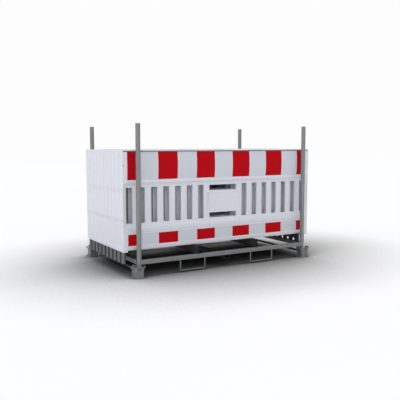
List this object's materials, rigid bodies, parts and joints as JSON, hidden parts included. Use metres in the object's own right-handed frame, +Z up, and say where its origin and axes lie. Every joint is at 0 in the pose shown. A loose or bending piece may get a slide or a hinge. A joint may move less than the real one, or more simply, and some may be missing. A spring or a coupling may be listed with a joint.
{
  "type": "loaded barricade panel transport rack",
  "caption": "Stacking steel transport rack holding a row of white plastic barricade panels with red and white reflective bands on two beams and a slotted lattice.",
  "frame": {"origin": "on the ground under the middle of the rack", "axes": "+X along the panels to the right, +Y from the front panel to the rear one, +Z up"},
  "size_m": [2.1, 1.2778, 1.35],
  "materials": {
    "galvanised_steel": "hot dip galvanised, dull",
    "panel_plastic": "blow moulded, satin white",
    "red_film": "retroreflective sheeting, satin red",
    "white_film": "retroreflective sheeting, satin white",
    "foot_tube_steel": "galvanised, dull grey"
  },
  "bodies": {
    "rack": {"front_left_post": "galvanised_steel", "front_right_post": "galvanised_steel", "rear_left_post": "galvanised_steel", "rear_right_post": "galvanised_steel", "front_rail": "galvanised_steel", "rear_rail": "galvanised_steel", "left_end_rail": "galvanised_steel", "right_end_rail": "galvanised_steel", "left_lower_rail": "galvanised_steel", "right_lower_rail": "galvanised_steel", "left_bearer": "galvanised_steel", "right_bearer": "galvanised_steel", "centre_cross_member": "galvanised_steel", "deck_supports": "galvanised_steel", "left_fork_straps": "galvanised_steel", "right_fork_straps": "galvanised_steel", "base_plates": "galvanised_steel", "socket_blocks": "galvanised_steel", "corner_plates": "galvanised_steel", "guide_ears": "galvanised_steel"},
    "panel_01": {"panel_01_shell": "panel_plastic", "panel_01_red_sheeting": "red_film", "panel_01_white_sheeting": "white_film", "panel_01_foot_tubes": "foot_tube_steel"},
    "panel_02": {"panel_02_shell": "panel_plastic", "panel_02_red_sheeting": "red_film", "panel_02_white_sheeting": "white_film", "panel_02_foot_tubes": "foot_tube_steel"},
    "panel_03": {"panel_03_shell": "panel_plastic", "panel_03_red_sheeting": "red_film", "panel_03_white_sheeting": "white_film", "panel_03_foot_tubes": "foot_tube_steel"},
    "panel_04": {"panel_04_shell": "panel_plastic", "panel_04_red_sheeting": "red_film", "panel_04_white_sheeting": "white_film", "panel_04_foot_tubes": "foot_tube_steel"},
    "panel_05": {"panel_05_shell": "panel_plastic", "panel_05_red_sheeting": "red_film", "panel_05_white_sheeting": "white_film", "panel_05_foot_tubes": "foot_tube_steel"},
    "panel_06": {"panel_06_shell": "panel_plastic", "panel_06_red_sheeting": "red_film", "panel_06_white_sheeting": "white_film", "panel_06_foot_tubes": "foot_tube_steel"},
    "panel_07": {"panel_07_shell": "panel_plastic", "panel_07_red_sheeting": "red_film", "panel_07_white_sheeting": "white_film", "panel_07_foot_tubes": "foot_tube_steel"},
    "panel_08": {"panel_08_shell": "panel_plastic", "panel_08_red_sheeting": "red_film", "panel_08_white_sheeting": "white_film", "panel_08_foot_tubes": "foot_tube_steel"},
    "panel_09": {"panel_09_shell": "panel_plastic", "panel_09_red_sheeting": "red_film", "panel_09_white_sheeting": "white_film", "panel_09_foot_tubes": "foot_tube_steel"},
    "panel_10": {"panel_10_shell": "panel_plastic", "panel_10_red_sheeting": "red_film", "panel_10_white_sheeting": "white_film", "panel_10_foot_tubes": "foot_tube_steel"}
  },
  "joints": [
    {"name": "panel_01_lift", "type": "slide", "parent": "rack", "child": "panel_01", "axis": [0, 0, 1], "range_m": [0, 1.25]},
    {"name": "panel_02_lift", "type": "slide", "parent": "rack", "child": "panel_02", "axis": [0, 0, 1], "range_m": [0, 1.25]},
    {"name": "panel_03_lift", "type": "slide", "parent": "rack", "child": "panel_03", "axis": [0, 0, 1], "range_m": [0, 1.25]},
    {"name": "panel_04_lift", "type": "slide", "parent": "rack", "child": "panel_04", "axis": [0, 0, 1], "range_m": [0, 1.25]},
    {"name": "panel_05_lift", "type": "slide", "parent": "rack", "child": "panel_05", "axis": [0, 0, 1], "range_m": [0, 1.25]},
    {"name": "panel_06_lift", "type": "slide", "parent": "rack", "child": "panel_06", "axis": [0, 0, 1], "range_m": [0, 1.25]},
    {"name": "panel_07_lift", "type": "slide", "parent": "rack", "child": "panel_07", "axis": [0, 0, 1], "range_m": [0, 1.25]},
    {"name": "panel_08_lift", "type": "slide", "parent": "rack", "child": "panel_08", "axis": [0, 0, 1], "range_m": [0, 1.25]},
    {"name": "panel_09_lift", "type": "slide", "parent": "rack", "child": "panel_09", "axis": [0, 0, 1], "range_m": [0, 1.25]},
    {"name": "panel_10_lift", "type": "slide", "parent": "rack", "child": "panel_10", "axis": [0, 0, 1], "range_m": [0, 1.25]}
  ]
}
